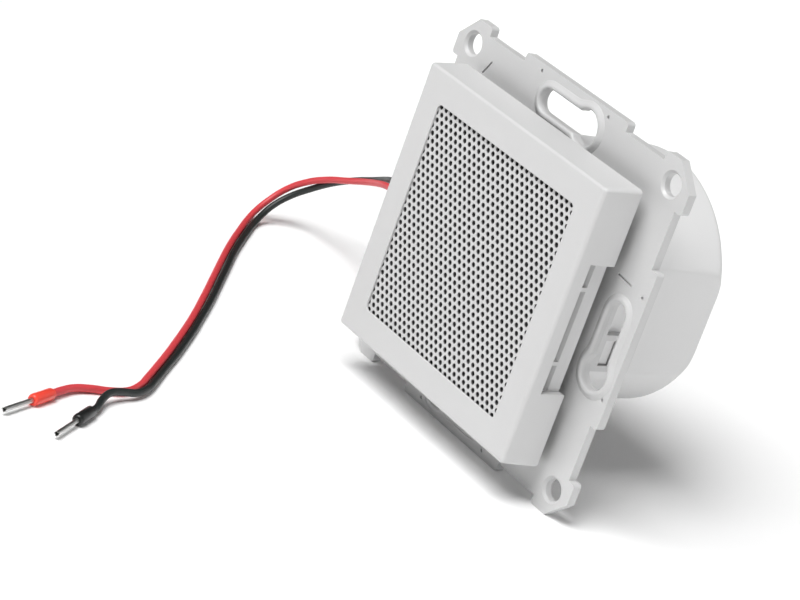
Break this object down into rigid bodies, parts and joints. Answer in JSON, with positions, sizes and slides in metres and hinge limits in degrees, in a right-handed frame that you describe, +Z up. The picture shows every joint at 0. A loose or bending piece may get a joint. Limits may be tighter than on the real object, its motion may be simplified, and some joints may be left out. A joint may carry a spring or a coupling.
{
  "type": "in-wall radio loudspeaker insert",
  "caption": "Square flush-mounted loudspeaker insert for an in-wall radio, with a perforated grille, a mounting plate, a round rear housing and two leads with ferrules.",
  "frame": {"origin": "centre of the mounting plate's rear face, which is the wall plane, on the axis of the round wall box", "axes": "+X to the right seen from the front, +Y into the wall, +Z up"},
  "size_m": [0.1288, 0.1277, 0.071],
  "materials": {
    "white_cover": "satin white plastic, fine moulded texture",
    "painted_sheet": "white powder-painted perforated sheet",
    "black_cloth": "thin black dust cloth",
    "white_carrier": "plain white plastic",
    "white_plate": "plain white plastic, slightly glossy",
    "black_foam": "soft black foam and rubber",
    "black_cone": "matt black paper",
    "former_film": "amber film",
    "copper_wire": "bright copper wire",
    "spider_cloth": "impregnated cloth",
    "steel": "zinc-plated steel",
    "ferrite": "dark grey ferrite",
    "hard_paper": "brown hard paper",
    "brass_tag": "tinned brass",
    "black_rubber": "matt black rubber",
    "red_insulation": "satin red cable sheath",
    "black_insulation": "satin black cable sheath",
    "red_collar": "glossy red plastic",
    "tinned_pin": "bright tinned copper"
  },
  "bodies": {
    "root": {"cover_frame": "white_cover", "grille_sheet": "painted_sheet", "dust_cloth": "black_cloth", "inner_carrier": "white_carrier", "mounting_plate": "white_plate", "rear_housing": "white_plate", "front_gasket": "black_foam", "basket": "steel", "surround": "black_foam", "cone": "black_cone", "dust_cap": "black_cone", "coil_former": "former_film", "voice_coil": "copper_wire", "spider": "spider_cloth", "front_pole_plate": "steel", "magnet": "ferrite", "yoke": "steel", "terminal_board": "hard_paper", "solder_tags": "brass_tag", "tinsel_leads": "copper_wire", "driver_screws": "steel", "lead_grommet": "black_rubber", "red_lead": "red_insulation", "black_lead": "black_insulation", "red_ferrule_collar": "red_collar", "black_ferrule_collar": "black_insulation", "red_ferrule_pin": "tinned_pin", "black_ferrule_pin": "tinned_pin"}
  },
  "joints": []
}
